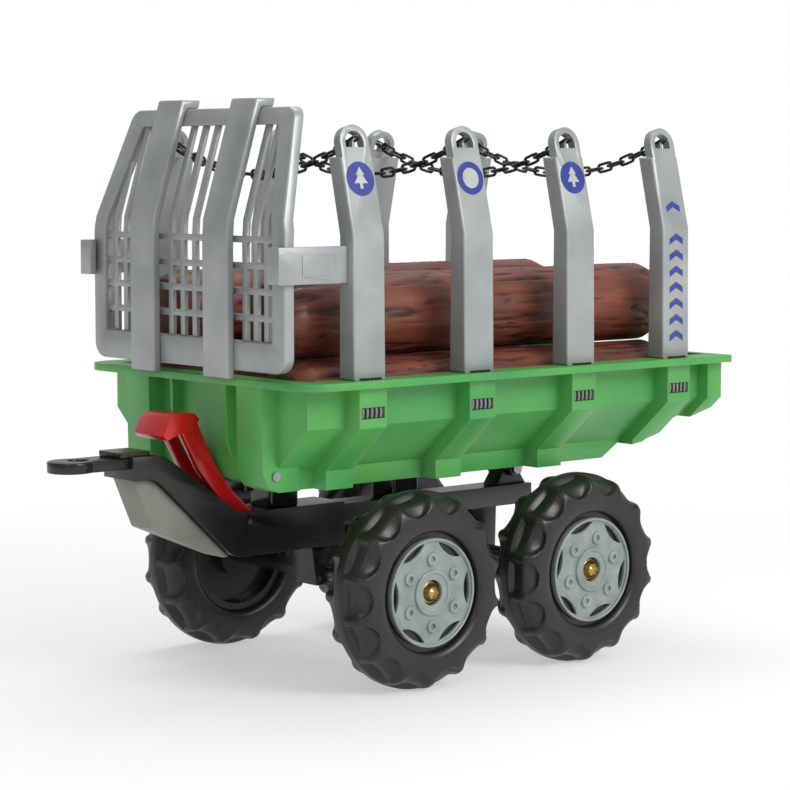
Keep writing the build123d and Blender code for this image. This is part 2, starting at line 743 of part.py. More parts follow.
for number, stake_x in enumerate(stake_xs, start=1):
    for hand, side in sides.items():
        with BuildPart() as stake:
            with BuildSketch(across(stake_x)):
                with BuildLine():
                    Polyline(
                        (side * (stake_base_y + stake_depth / 2), rim_top_z),
                        (side * outer_bend_y, stake_bend_z),
                        (side * outer_shoulder_y, stake_shoulder_z),
                        (side * (shoulder_y - stake_depth / 2 + 1.0), stake_shoulder_z),
                        (side * (stake_base_y - stake_depth / 2 + 1.0), stake_bend_z),
                        (side * (stake_base_y - stake_depth / 2), rim_top_z),
                        close=True,
                    )
                make_face()
            extrude(amount=stake_width / 2, both=True)
            fillet(stake.edges().group_by(Axis.X)[0] + stake.edges().group_by(Axis.X)[-1], 2.5)
            # arch loop in line with the leaning outer face, its sill, and the chain's hook
            face = leaning_face(stake_x, side)
            with BuildSketch(face):
                with Locations((0, (loop_foot_up + loop_centre_up) / 2)):
                    Rectangle(2 * loop_radius, loop_centre_up - loop_foot_up)
                with Locations((0, loop_centre_up)):
                    Circle(loop_radius)
                with Locations((0, loop_centre_up)):
                    Circle(opening_half, mode=Mode.SUBTRACT)
                with Locations((0, (loop_foot_up + sill_up) / 2)):
                    Rectangle(2 * loop_radius, sill_up - loop_foot_up)
                with Locations((0, (sill_up + loop_centre_up) / 2)):
                    Rectangle(2 * opening_half, loop_centre_up - sill_up, mode=Mode.SUBTRACT)
            extrude(amount=-loop_depth)
            with BuildSketch(face.offset(-loop_depth / 2)):
                with Locations((0, (sill_up - 1.0 + hook_up) / 2)):
                    Rectangle(hook_width, hook_up - sill_up + 1.0)
            extrude(amount=hook_depth / 2, both=True)
            with Locations(at_side(side * hook_y, stake_x, chain_hook_z)):
                Cylinder(hook_width / 2, hook_depth)
            with BuildSketch(Plane.XY.offset(rim_top_z)):
                with Locations((stake_x, side * stake_base_y)):
                    Rectangle(pocket_width - 2 * part_gap, pocket_depth - 2 * part_gap)
            extrude(amount=pocket_bottom_z + part_gap - rim_top_z)
        save(stake, f"stake_{number}_{hand}")

emblem_radius = 19.0
emblem_thickness = 0.8
emblem_z = 560.0
with BuildPart() as emblems:
    for side in sides.values():
        for stake_x in stake_xs[:3]:
            with BuildSketch(leaning_face(stake_x, side)):
                with Locations((0, (emblem_z - stake_bend_z) / cos(lean_angle))):
                    Circle(emblem_radius)
            extrude(amount=emblem_thickness)
save(emblems, "emblem_discs")

# ---- logs ----
side_log = (124.2, 318.8)
upper_log_y = 95.0
upper_log_z = 409.5
log_places = {
    "log_lower_left": (log_start_x, lower_log_length, -side_log[0], side_log[1]),
    "log_lower_right": (log_start_x, lower_log_length, *side_log),
    "log_lower_middle": (-180.0, 450.0, 0.0, tub_bottom_z + wall + log_radius + part_gap),
    "log_upper_left": (log_start_x, log_length, -upper_log_y, upper_log_z),
    "log_upper_right": (log_start_x, log_length, upper_log_y, upper_log_z),
}
for name, (start_x, length, log_y, log_z) in log_places.items():
    with BuildPart() as log:
        with BuildSketch(across(start_x, log_y, log_z)):
            Circle(log_radius)
        extrude(amount=length)
        fillet(log.edges().filter_by(GeomType.CIRCLE), 12.0)
    save(log, name)

# ---- chains: links along a shallow parabola between the two hooks of each stake pair ----
link_pitch = link_length - 2 * link_wire - link_slack


def sag_drop(y):
    return chain_sag * ((y / hook_y) ** 2 - 1.0)


arc_steps = 400
arc_points = [(-hook_y + 2 * hook_y * i / arc_steps) for i in range(arc_steps + 1)]
arc_lengths = [0.0]
for start_y, end_y in zip(arc_points, arc_points[1:]):
    rise = sag_drop(end_y) - sag_drop(start_y)
    arc_lengths.append(arc_lengths[-1] + (rise**2 + (end_y - start_y) ** 2) ** 0.5)
link_count = int(arc_lengths[-1] / link_pitch) + 1
link_count += 1 - link_count % 2
for number, stake_x in enumerate(stake_xs, start=1):
    with BuildPart() as chain:
        for link in range(link_count):
            reach = arc_lengths[-1] * link / (link_count - 1)
            near = min(range(arc_steps + 1), key=lambda i: abs(arc_lengths[i] - reach))
            link_y = arc_points[near]
            slope = 2 * chain_sag * link_y / hook_y**2
            along = Vector(0, 1, slope).normalized()
            # first and last link lie flat over the hooks, so the turns alternate from there
            facing = Vector(0, -along.Z, along.Y) if link % 2 == 0 else Vector(1, 0, 0)
            link_z = chain_hook_z + sag_drop(link_y)
            with BuildSketch(Plane(origin=(stake_x, link_y, link_z), x_dir=along, z_dir=facing)):
                SlotOverall(link_length, link_width)
                SlotOverall(link_length - 2 * link_wire, link_width - 2 * link_wire, mode=Mode.SUBTRACT)
            extrude(amount=link_wire / 2, both=True)
    save(chain, f"chain_{number}")
print("links in a chain:", link_count, "pitch", round(arc_lengths[-1] / (link_count - 1), 2))
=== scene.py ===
import json
import math

import bpy
from mathutils import Matrix, Vector, noise


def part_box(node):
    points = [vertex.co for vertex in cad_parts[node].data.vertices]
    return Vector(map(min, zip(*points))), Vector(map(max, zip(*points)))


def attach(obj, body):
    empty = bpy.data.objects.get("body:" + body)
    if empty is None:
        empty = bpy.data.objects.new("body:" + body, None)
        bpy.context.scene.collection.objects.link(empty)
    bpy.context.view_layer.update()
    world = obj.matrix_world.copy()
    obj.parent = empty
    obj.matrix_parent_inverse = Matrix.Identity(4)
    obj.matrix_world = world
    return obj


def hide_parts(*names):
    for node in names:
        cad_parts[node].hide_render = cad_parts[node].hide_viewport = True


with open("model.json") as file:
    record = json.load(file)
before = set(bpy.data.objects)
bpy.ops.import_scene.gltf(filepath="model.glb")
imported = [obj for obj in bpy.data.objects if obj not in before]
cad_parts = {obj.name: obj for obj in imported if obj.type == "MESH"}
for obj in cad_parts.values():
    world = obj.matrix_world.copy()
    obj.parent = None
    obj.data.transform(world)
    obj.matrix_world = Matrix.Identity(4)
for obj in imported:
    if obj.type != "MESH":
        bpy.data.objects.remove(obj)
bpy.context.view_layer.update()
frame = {"nodes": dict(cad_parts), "record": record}
print("frame loaded")


def hexColour(code):
    # sRGB hex to the linear values that the shaders take
    parts = [int(code[i : i + 2], 16) / 255 for i in (0, 2, 4)]
    return tuple(p / 12.92 if p <= 0.04045 else ((p + 0.055) / 1.055) ** 2.4 for p in parts) + (1.0,)


def addNode(tree, kind, settings=None, **links):
    # a node with its settings; links name its inputs and the sockets that feed them
    node = tree.nodes.new(kind)
    for key, value in (settings or {}).items():
        if isinstance(key, int) or key in node.inputs:
            node.inputs[key].default_value = value
        else:
            setattr(node, key, value)
    for key, socket in links.items():
        tree.links.new(socket, node.inputs[key.replace("_", " ")])
    return node


def newMaterial(name, settings):
    material = bpy.data.materials.new(name)
    material.use_nodes = True
    tree = material.node_tree
    shader = tree.nodes["Principled BSDF"]
    for key, value in settings.items():
        shader.inputs[key].default_value = value
    place = addNode(tree, "ShaderNodeTexCoord")
    return material, tree, shader, place.outputs["Object"]


def moulded(name, look):
    # an injection- or blow-moulded plastic: soft tone drift, fine leathery bump, roughness that wanders
    material, tree, shader, place = newMaterial(name, look["shader"])
    drift = addNode(tree, "ShaderNodeTexNoise", {"Scale": 1 / look["driftSize"], "Detail": 3.0}, Vector=place)
    tone = addNode(tree, "ShaderNodeValToRGB", {}, Fac=drift.outputs["Fac"])
    tone.color_ramp.elements[0].position = 0.3
    tone.color_ramp.elements[0].color = hexColour(look["dark"])
    tone.color_ramp.elements[1].position = 0.72
    tone.color_ramp.elements[1].color = hexColour(look["light"])
    tree.links.new(tone.outputs["Color"], shader.inputs["Base Color"])
    grain = addNode(tree, "ShaderNodeTexNoise", {"Scale": 1 / look["grainSize"], "Detail": 2.0}, Vector=place)
    dullness = addNode(tree, "ShaderNodeMapRange", {"To Min": look["gloss"][0], "To Max": look["gloss"][1]},
                       Value=drift.outputs["Fac"])
    tree.links.new(dullness.outputs["Result"], shader.inputs["Roughness"])
    bump = addNode(tree, "ShaderNodeBump", {"Strength": look["bump"], "Distance": 0.0004}, Height=grain.outputs["Fac"])
    tree.links.new(bump.outputs["Normal"], shader.inputs["Normal"])
    return material


# silver-pigmented polypropylene, injection-moulded: even satin sheen, faint flow marks 60 mm apart
silverLook = {
    "shader": {"IOR": 1.49, "Metallic": 0.25},
    "dark": "8f9495", "light": "a7abaa", "gloss": (0.3, 0.42),
    "driftSize": 0.06, "grainSize": 0.0012, "bump": 0.12,
}
# green polyethylene, blow-moulded: waxy satin skin with slow tone changes where the wall is thin
greenLook = {
    "shader": {"IOR": 1.51, "Subsurface Weight": 0.04},
    "dark": "378f48", "light": "56a34c", "gloss": (0.33, 0.46),
    "driftSize": 0.12, "grainSize": 0.0016, "bump": 0.16,
}
# carbon-black polyethylene, blow-moulded tyre: dull satin, fine sandblasted skin
tyreLook = {
    "shader": {"IOR": 1.5},
    "dark": "171614", "light": "24221f", "gloss": (0.28, 0.42),
    "driftSize": 0.03, "grainSize": 0.0011, "bump": 0.35,
}
# carbon-black polyethylene, blow-moulded beam: smoother and shinier than the tyres, long flow streaks
beamLook = {
    "shader": {"IOR": 1.5},
    "dark": "151413", "light": "211f1d", "gloss": (0.2, 0.32),
    "driftSize": 0.05, "grainSize": 0.002, "bump": 0.14,
}
# grey polypropylene hub caps, injection-moulded with a faint metallic pigment
hubLook = {
    "shader": {"IOR": 1.49, "Metallic": 0.15},
    "dark": "7d8886", "light": "95a09d", "gloss": (0.34, 0.45),
    "driftSize": 0.02, "grainSize": 0.001, "bump": 0.12,
}
# natural grey regrind polyethylene of the keel: dull and slightly mottled
keelLook = {
    "shader": {"IOR": 1.5},
    "dark": "6f6f68", "light": "85857c", "gloss": (0.42, 0.55),
    "driftSize": 0.04, "grainSize": 0.0015, "bump": 0.2,
}
# signal-red polypropylene, polished mould: glossy
redLook = {
    "shader": {"IOR": 1.49, "Coat Weight": 0.25, "Coat Roughness": 0.12},
    "dark": "b80d14", "light": "cf1a1d", "gloss": (0.16, 0.26),
    "driftSize": 0.05, "grainSize": 0.003, "bump": 0.05,
}
# black nylon of chains, shafts' spacers and cores: glossy on the chain's rounded wires
chainLook = {
    "shader": {"IOR": 1.53},
    "dark": "121212", "light": "1e1e1e", "gloss": (0.14, 0.26),
    "driftSize": 0.01, "grainSize": 0.002, "bump": 0.05,
}
# dark grey nylon clips
clipLook = {
    "shader": {"IOR": 1.53},
    "dark": "6d706f", "light": "838685", "gloss": (0.3, 0.4),
    "driftSize": 0.01, "grainSize": 0.001, "bump": 0.1,
}
silverPlastic = moulded("silver_polypropylene_moulded", silverLook)
greenPlastic = moulded("green_polyethylene_blow_moulded", greenLook)
tyrePlastic = moulded("black_polyethylene_tyre", tyreLook)
beamPlastic = moulded("black_polyethylene_beam", beamLook)
hubPlastic = moulded("grey_polypropylene_hub", hubLook)
keelPlastic = moulded("grey_polyethylene_keel", keelLook)
redPlastic = moulded("red_polypropylene_polished", redLook)
chainPlastic = moulded("black_nylon_chain", chainLook)
clipPlastic = moulded("grey_nylon_clip", clipLook)


def metal(name, look):
    # a plated or rolled metal with fine drawn streaks across it
    material, tree, shader, place = newMaterial(name, {"Metallic": 1.0})
    stretch = addNode(tree, "ShaderNodeMapping", {"Scale": look["streaks"]}, Vector=place)
    noise = addNode(tree, "ShaderNodeTexNoise", {"Scale": 400.0, "Detail": 2.0}, Vector=stretch.outputs["Vector"])
    tone = addNode(tree, "ShaderNodeValToRGB", {}, Fac=noise.outputs["Fac"])
    tone.color_ramp.elements[0].color = hexColour(look["dark"])
    tone.color_ramp.elements[1].color = hexColour(look["light"])
    tree.links.new(tone.outputs["Color"], shader.inputs["Base Color"])
    dull = addNode(tree, "ShaderNodeMapRange", {"To Min": look["gloss"][0], "To Max": look["gloss"][1]},
                   Value=noise.outputs["Fac"])
    tree.links.new(dull.outputs["Result"], shader.inputs["Roughness"])
    return material


# zinc-plated drawn steel rod: cool grey, streaked round the bar
zincSteel = metal("zinc_plated_steel", {
    "dark": "7c7d80", "light": "b4b6b8", "gloss": (0.25, 0.45), "streaks": (1, 0.1, 1),
})
# brass-plated push-on cap: warm, bright, lightly tarnished
brassPlate = metal("brass_plated_cap", {
    "dark": "a07c3c", "light": "d6b877", "gloss": (0.18, 0.35), "streaks": (1, 1, 1),
})

# printed vinyl film: flat colour under a thin gloss, tone drifts a little with the ink
blueFilm = moulded("blue_printed_vinyl", {
    "shader": {"IOR": 1.5, "Coat Weight": 0.5, "Coat Roughness": 0.1},
    "dark": "16297e", "light": "1f3890", "gloss": (0.25, 0.35),
    "driftSize": 0.02, "grainSize": 0.002, "bump": 0.03,
})
greyFilm = moulded("silver_printed_vinyl", {
    "shader": {"IOR": 1.5, "Metallic": 0.3},
    "dark": "a9adab", "light": "c3c6c4", "gloss": (0.25, 0.35),
    "driftSize": 0.02, "grainSize": 0.002, "bump": 0.03,
})

# oiled-looking brown polyethylene of the logs: bark plates from the mesh's attributes, with painted shade darkening
# the grooves and the knots' ring hollows, and a growth-ring pattern on the cut ends
def barkMaterial():
    material, tree, shader, place = newMaterial("brown_polyethylene_bark", {"IOR": 1.5})
    grooveAndShade = addNode(tree, "ShaderNodeAttribute", {"attribute_name": "grooveAndShade"})
    knotRingsAndShade = addNode(tree, "ShaderNodeAttribute", {"attribute_name": "knotRingsAndShade"})
    along = addNode(tree, "ShaderNodeMapping", {"Scale": (9.0, 90.0, 90.0)}, Vector=place)
    fibre = addNode(tree, "ShaderNodeTexNoise", {"Scale": 1.0, "Detail": 6.0, "Roughness": 0.6},
                    Vector=along.outputs["Vector"])
    tone = addNode(tree, "ShaderNodeValToRGB", {}, Fac=fibre.outputs["Fac"])
    tone.color_ramp.elements[0].position = 0.2
    tone.color_ramp.elements[0].color = hexColour("4a2117")
    tone.color_ramp.elements[1].position = 0.7
    tone.color_ramp.elements[1].color = hexColour("834634")
    rings = addNode(tree, "ShaderNodeMath", {"operation": "MULTIPLY", 1: 0.6})
    tree.links.new(knotRingsAndShade.outputs["Fac"], rings.inputs[0])
    depth = addNode(tree, "ShaderNodeMath", {"operation": "MAXIMUM"})
    tree.links.new(grooveAndShade.outputs["Fac"], depth.inputs[0])
    tree.links.new(rings.outputs["Value"], depth.inputs[1])
    mix = addNode(tree, "ShaderNodeMix", {"data_type": "RGBA"})
    tree.links.new(depth.outputs["Value"], mix.inputs["Factor"])
    tree.links.new(tone.outputs["Color"], mix.inputs[6])
    # the dark colour is painted shade in the bark grooves and in the knots' ring hollows, and the growth-ring pattern
    # on the log ends
    mix.inputs[7].default_value = hexColour("2c130d")
    tree.links.new(mix.outputs[2], shader.inputs["Base Color"])
    dull = addNode(tree, "ShaderNodeMapRange", {"To Min": 0.3, "To Max": 0.55}, Value=fibre.outputs["Fac"])
    tree.links.new(dull.outputs["Result"], shader.inputs["Roughness"])
    bump = addNode(tree, "ShaderNodeBump", {"Strength": 0.55, "Distance": 0.0012}, Height=fibre.outputs["Fac"])
    tree.links.new(bump.outputs["Normal"], shader.inputs["Normal"])
    return material


barkPlastic = barkMaterial()
print("materials made")

bodyOf = {n: b for b, nodes in frame["record"]["behaviour"]["bodies"].items() for n in nodes}


def pickOnly(piece):
    bpy.ops.object.select_all(action="DESELECT")
    piece.select_set(True)
    bpy.context.view_layer.objects.active = piece


def newPiece(name, material, points=(), faces=(), edges=()):
    mesh = bpy.data.meshes.new(name)
    mesh.from_pydata([Vector(p) for p in points], edges, faces)
    piece = bpy.data.objects.new(name, mesh)
    bpy.context.collection.objects.link(piece)
    mesh.materials.append(material)
    pickOnly(piece)
    return piece


def settle(piece, body, replaced=(), angle=40):
    # transforms applied, smooth shading, and the piece rides on its body
    pickOnly(piece)
    bpy.ops.object.transform_apply(location=True, rotation=True, scale=True)
    bpy.ops.object.shade_smooth_by_angle(angle=math.radians(angle))
    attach(piece, body)
    if replaced:
        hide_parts(*replaced)
    return piece


def roundEdges(piece, width, segments=2, limit=32):
    pickOnly(piece)
    bevel = piece.modifiers.new("edges", "BEVEL")
    bevel.width = width
    bevel.segments = segments
    bevel.limit_method = "ANGLE"
    bevel.angle_limit = math.radians(limit)
    bevel.miter_outer = "MITER_ARC"
    bpy.ops.object.modifier_apply(modifier="edges")


def joinPieces(pieces, name):
    bpy.ops.object.select_all(action="DESELECT")
    for piece in pieces:
        piece.select_set(True)
    bpy.context.view_layer.objects.active = pieces[0]
    bpy.ops.object.join()
    joined = bpy.context.view_layer.objects.active
    joined.name = name
    return joined


def copyPiece(piece, name, matrix):
    twin = bpy.data.objects.new(name, piece.data.copy())
    bpy.context.collection.objects.link(twin)
    twin.data.transform(matrix)
    if matrix.determinant() < 0:
        twin.data.flip_normals()
    return twin


def mouldedCopy(node, material, width):
    # the same piece with the small radii that its mould leaves on every edge
    source = frame["nodes"][node]
    mesh = source.data.copy()
    mesh.materials.clear()
    mesh.materials.append(material)
    piece = bpy.data.objects.new(node + "_moulded", mesh)
    bpy.context.collection.objects.link(piece)
    pickOnly(piece)
    bpy.ops.object.mode_set(mode="EDIT")
    bpy.ops.mesh.select_all(action="SELECT")
    bpy.ops.mesh.remove_doubles(threshold=0.00001)
    bpy.ops.mesh.dissolve_limited(angle_limit=math.radians(1.5))
    bpy.ops.object.mode_set(mode="OBJECT")
    roundEdges(piece, width)
    return settle(piece, bodyOf[node], [node])


# edge radii in metres, by node and material
mouldedNodes = {
    "tub": (greenPlastic, 0.0016),
    "headboard_frame": (silverPlastic, 0.002),
    "headboard_grille": (silverPlastic, 0.0012),
    "chassis_beam": (beamPlastic, 0.0055),
    "towing_tongue": (beamPlastic, 0.002),
    "tongue_cover": (beamPlastic, 0.0012),
    "neck_keel": (keelPlastic, 0.002),
    "tipping_lever": (redPlastic, 0.0028),
    "axle_saddles": (beamPlastic, 0.0015),
    "tip_hinge_bracket": (beamPlastic, 0.0012),
    "tip_hinge_lugs": (beamPlastic, 0.0012),
    "latch_keeper": (beamPlastic, 0.001),
    "tub_rest_pads": (chainPlastic, 0.0015),
}
for hand in ("left", "right"):
    mouldedNodes["headboard_post_" + hand] = (silverPlastic, 0.0022)
    mouldedNodes["headboard_arm_" + hand] = (silverPlastic, 0.002)
    for k in range(1, 5):
        mouldedNodes["stake_%d_%s" % (k, hand)] = (silverPlastic, 0.0014)
    for end in ("front", "rear"):
        mouldedNodes["hub_cap_%s_%s" % (end, hand)] = (hubPlastic, 0.0007)
        mouldedNodes["axle_cap_%s_%s" % (end, hand)] = (brassPlate, 0.0012)
rounded = {node: mouldedCopy(node, material, width) for node, (material, width) in mouldedNodes.items()}
# the rear left wheel stopped a little further round than the front one, so its cap is turned
axles = {"front": -0.0586, "rear": 0.1854, "height": 0.110, "rearCapTurn": 13.0}
rearAxle = Vector((axles["rear"], 0.0, axles["height"]))
spin = (Matrix.Translation(rearAxle) @ Matrix.Rotation(math.radians(axles["rearCapTurn"]), 4, "Y")
        @ Matrix.Translation(-rearAxle))
rounded["hub_cap_rear_left"].data.transform(spin)
# each arm is a thinner plate than its solid; its inner face stays where it is
arm = {"inner": 0.178, "thickness": 0.6, "flat": 0.001}
for node, piece in rounded.items():
    if node.startswith("headboard_arm"):
        side = math.copysign(1.0, piece.data.vertices[0].co.y)
        for v in piece.data.vertices:
            reach = abs(v.co.y) - arm["inner"]
            if reach > arm["flat"]:
                v.co.y = side * (arm["inner"] + reach * arm["thickness"])
# the crown of each push-on cap is pressed to a hexagon smaller than its flange
crown = {"across": 6.6, "depth": 0.0035, "stud": 0.0065}
for node, piece in rounded.items():
    if not node.startswith("axle_cap"):
        continue
    middleX = axles[node.split("_")[2]]
    outer = max(abs(v.co.y) for v in piece.data.vertices)
    for v in piece.data.vertices:
        x, z = v.co.x - middleX, v.co.z - axles["height"]
        radius = math.hypot(x, z)
        if abs(v.co.y) > outer - crown["depth"] and radius > crown["stud"]:
            turn = math.degrees(math.atan2(z, x)) % 60.0 - 30.0
            flat = crown["across"] / 1000 / math.cos(math.radians(turn))
            v.co.x, v.co.z = middleX + x * flat / radius, axles["height"] + z * flat / radius
print("moulded pieces rounded")

plainNodes = {
    "front_axle": zincSteel, "rear_axle": zincSteel, "tip_hinge_pin": zincSteel, "lever_pin": zincSteel,
    "nose_bolts": zincSteel, "axle_spacer_tubes": beamPlastic,
}
for end in ("front", "rear"):
    for hand in ("left", "right"):
        plainNodes["wheel_core_%s_%s" % (end, hand)] = beamPlastic
for node, material in plainNodes.items():
    skin = frame["nodes"][node]
    skin.data.materials.clear()
    skin.data.materials.append(material)

# tyre: one blown shell with a centre ridge; scooped pockets press in both shoulders and leave paddles between
tyre = {
    "profile": [(66, 25), (66.6, 29), (69, 32), (73, 33.6), (79, 34), (82, 34), (84, 34), (85.5, 34),
                (87, 33.95), (88.5, 33.9), (90, 33.7), (91.5, 33.5), (93, 33.2), (94.5, 32.8), (96, 32.4),
                (97.5, 31.8), (99.5, 30.8), (102.5, 28.4), (105, 25), (106.8, 21), (107.8, 17), (108.4, 13),
                (108.8, 10), (109, 8), (109.1, 6.2), (109.8, 5.2), (109.9, 3), (109.9, 1)],
    "turns": 336, "pockets": 14, "pocketShare": 0.42, "pocketDepth": 6.5, "pocketInset": 4.6,
    "pocketStart": 6.2, "pocketRun": 3.5, "pocketFoot": 87.0, "pocketFootBow": 10.0, "pocketFootRun": 7.0,
    "shoulderFrom": 22.0, "shoulderRun": 8.0,
}
mm = 0.001


def pressPocket(v):
    # moves one point of the shell into its pocket: inwards along the radius and, on the sidewall, towards the middle
    radius = math.hypot(v.co.x, v.co.z) / mm
    y = v.co.y / mm
    phase = math.atan2(v.co.z, v.co.x) / (2 * math.pi) * tyre["pockets"] + (0.5 if y > 0 else 0.0)
    phase = phase - math.floor(phase) - 0.5
    offset = phase / tyre["pocketShare"]
    pressRound = max(0.0, 1.0 - offset ** 2) ** 0.5
    across = min(1.0, max(0.0, (abs(y) - tyre["pocketStart"]) / tyre["pocketRun"]))
    footRadius = tyre["pocketFoot"] + tyre["pocketFootBow"] * min(1.0, offset ** 2)
    foot = min(1.0, max(0.0, (radius - footRadius) / tyre["pocketFootRun"])) ** 0.8
    press = pressRound * across * foot
    scale = (radius - tyre["pocketDepth"] * press) / radius
    v.co.x *= scale
    v.co.z *= scale
    shoulder = min(1.0, max(0.0, (abs(y) - tyre["shoulderFrom"]) / tyre["shoulderRun"]))
    v.co.y -= math.copysign(tyre["pocketInset"] * press * shoulder, y) * mm


def makeTyre():
    half = [(y * mm, r * mm) for r, y in tyre["profile"]]
    loop = half + [(-y, r) for y, r in reversed(half)]
    count = len(loop)
    shell = newPiece("tyre_pattern", tyrePlastic, [(0, y, r) for y, r in loop], (),
                     [(i, (i + 1) % count) for i in range(count)])
    bpy.ops.object.mode_set(mode="EDIT")
    bpy.ops.mesh.select_all(action="SELECT")
    bpy.ops.mesh.spin(steps=tyre["turns"], angle=2 * math.pi, center=(0, 0, 0), axis=(0, 1, 0))
    bpy.ops.mesh.select_all(action="SELECT")
    bpy.ops.mesh.remove_doubles(threshold=0.00002)
    bpy.ops.mesh.normals_make_consistent(inside=False)
    bpy.ops.object.mode_set(mode="OBJECT")
    for v in shell.data.vertices:
        pressPocket(v)
    return shell


tyrePattern = makeTyre()
for turn, (end, hand) in enumerate((e, h) for e in ("front", "rear") for h in ("left", "right")):
    node = "tyre_%s_%s" % (end, hand)
    low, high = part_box(node)
    centre = (Vector(low) + Vector(high)) / 2
    flip = Matrix.Rotation(math.pi, 4, "Z") if hand == "left" else Matrix.Identity(4)
    piece = copyPiece(tyrePattern, node + "_blown", Matrix.Translation(centre) @ flip)
    settle(piece, bodyOf[node], [node], 35)
bpy.data.objects.remove(tyrePattern)
print("tyres made")

# logs: a rod spun from its rounded outline, then grooved bark, swellings and knots pressed in
bark = {
    "along": 150, "around": 108,
    "inset": 0.3, "grooveDepth": 1.9, "swell": 2.2, "plateWidth": 10.0, "plateLength": 300.0,
    "endRound": 15.0, "knotRadius": 25.0, "knotDepth": 2.6, "knotRing": 6.5,
}
knotPlaces = {
    "log_upper_left": [(0.09, 252), (0.46, 262), (0.78, 240)],
    "log_upper_right": [(0.2, 100), (0.7, 80), (0.5, 268)],
    "log_lower_left": [(0.3, 276), (0.85, 262)],
    "log_lower_right": [(0.35, 80), (0.8, 100)],
    "log_lower_middle": [(0.4, 10)],
}


def makeLog(node, seed):
    low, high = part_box(node)
    centre = (Vector(low) + Vector(high)) / 2
    length = (high[0] - low[0]) / mm
    radius = (high[2] - low[2]) / 2 / mm - bark["inset"]
    outline = []
    for i in range(bark["along"] + 1):
        x = 0.5 * length * (1 - math.cos(math.pi * i / bark["along"])) if i < 6 or i > bark["along"] - 6 else None
        x = length * i / bark["along"] if x is None else x
        nearEnd = min(x, length - x)
        drop = bark["endRound"] - nearEnd
        r = radius - (bark["endRound"] - math.sqrt(max(0.0, bark["endRound"] ** 2 - drop**2)) if drop > 0 else 0)
        outline.append((x, r))
    caps = [(0.0, radius * s) for s in (0.0, 0.25, 0.5, 0.68)]
    outline = caps + [(x, r) for x, r in outline if r > radius * 0.7] + [(length, r) for _, r in reversed(caps)]
    piece = newPiece(node + "_bark", barkPlastic, [(x * mm, 0, r * mm) for x, r in outline], (),
                     [(i, i + 1) for i in range(len(outline) - 1)])
    bpy.ops.object.mode_set(mode="EDIT")
    bpy.ops.mesh.select_all(action="SELECT")
    bpy.ops.mesh.spin(steps=bark["around"], angle=2 * math.pi, center=(0, 0, 0), axis=(1, 0, 0))
    bpy.ops.mesh.select_all(action="SELECT")
    bpy.ops.mesh.remove_doubles(threshold=0.00002)
    bpy.ops.mesh.normals_make_consistent(inside=False)
    bpy.ops.object.mode_set(mode="OBJECT")
    # darkening stored per point: painted shade in the grooves and in the knot rings where they are cut deepest; on the
    # end faces a growth-ring pattern
    grooveShadeLayer = piece.data.attributes.new("grooveAndShade", "FLOAT", "POINT")
    knotRingsAndShadeLayer = piece.data.attributes.new("knotRingsAndShade", "FLOAT", "POINT")
    knots = [(share * length, math.radians(turn)) for share, turn in knotPlaces[node]]
    for v in piece.data.vertices:
        x = v.co.x / mm
        angle = math.atan2(v.co.z, v.co.y)
        r = math.hypot(v.co.y, v.co.z) / mm
        if r < 1.0:
            continue
        ring = (math.cos(angle) * radius, math.sin(angle) * radius)
        wander = 5.0 * noise.noise(Vector((x / 70, ring[0] / 40 + seed, ring[1] / 40)))
        cell = noise.noise(Vector((x / bark["plateLength"] + seed, ring[0] / bark["plateWidth"] + wander / 9,
                                   ring[1] / bark["plateWidth"])))
        grooveAndShade = max(0.0, 1.0 - abs(cell) / 0.11)
        swell = noise.noise(Vector((x / 120 + seed * 3, ring[0] / 50, ring[1] / 50)))
        cut = bark["grooveDepth"] * grooveAndShade**1.5 + bark["swell"] * (0.5 + 0.5 * swell)
        knotShade = 0.0
        for knotX, knotAngle in knots:
            turn = (angle - knotAngle + math.pi) % (2 * math.pi) - math.pi
            away = math.hypot((x - knotX) / 1.35, turn * radius) / bark["knotRadius"]
            if away < 1.5:
                blend = max(0.0, 1.0 - max(0.0, away - 0.9) / 0.6)
                ringWave = 0.5 + 0.5 * math.cos(2 * math.pi * away * bark["knotRadius"] / bark["knotRing"])
                knotCut = 0.6 + bark["knotDepth"] * (0.35 * ringWave + 0.9 * max(0.0, 0.35 - away))
                cut = cut * (1 - blend) + blend * knotCut
                knotShade = max(knotShade, blend * ringWave * 0.75)
                grooveAndShade = grooveAndShade * (1 - blend)
        face = 1.0 if radius * 0.7 < r else r / radius
        scale = (r - cut * face) / r
        v.co.y *= scale
        v.co.z *= scale
        grooveShadeLayer.data[v.index].value = grooveAndShade * face
        knotRingsAndShadeLayer.data[v.index].value = knotShade * face if face == 1.0 else 0.35 + 0.35 * math.cos(r * 1.1)
    piece.data.transform(Matrix.Translation((low[0], centre.y, centre.z)))
    settle(piece, bodyOf[node], [node], 60)


for seed, node in enumerate(knotPlaces):
    makeLog(node, 1.7 + 2.3 * seed)
print("logs made")

# chains: one rounded oval link, bent from a ring, set along the same shallow curve between the hooks
chain = {"sag": 36.0, "hookZ": 600.0, "hookY": 163.53, "links": 19, "length": 27.0, "width": 13.0, "wire": 3.6}


def makeLink():
    bpy.ops.object.select_all(action="DESELECT")
    reach = (chain["width"] - chain["wire"]) / 2 * mm
    bpy.ops.mesh.primitive_torus_add(major_segments=20, minor_segments=8, major_radius=reach,
                                     minor_radius=chain["wire"] / 2 * mm)
    link = bpy.context.active_object
    stretch = (chain["length"] - chain["width"]) / 2 * mm
    for v in link.data.vertices:
        if v.co.y > 0.0001:
            v.co.y += stretch
        elif v.co.y < -0.0001:
            v.co.y -= stretch
    link.data.materials.append(chainPlastic)
    return link


def sagAt(y):
    return chain["sag"] * ((y / chain["hookY"]) ** 2 - 1)


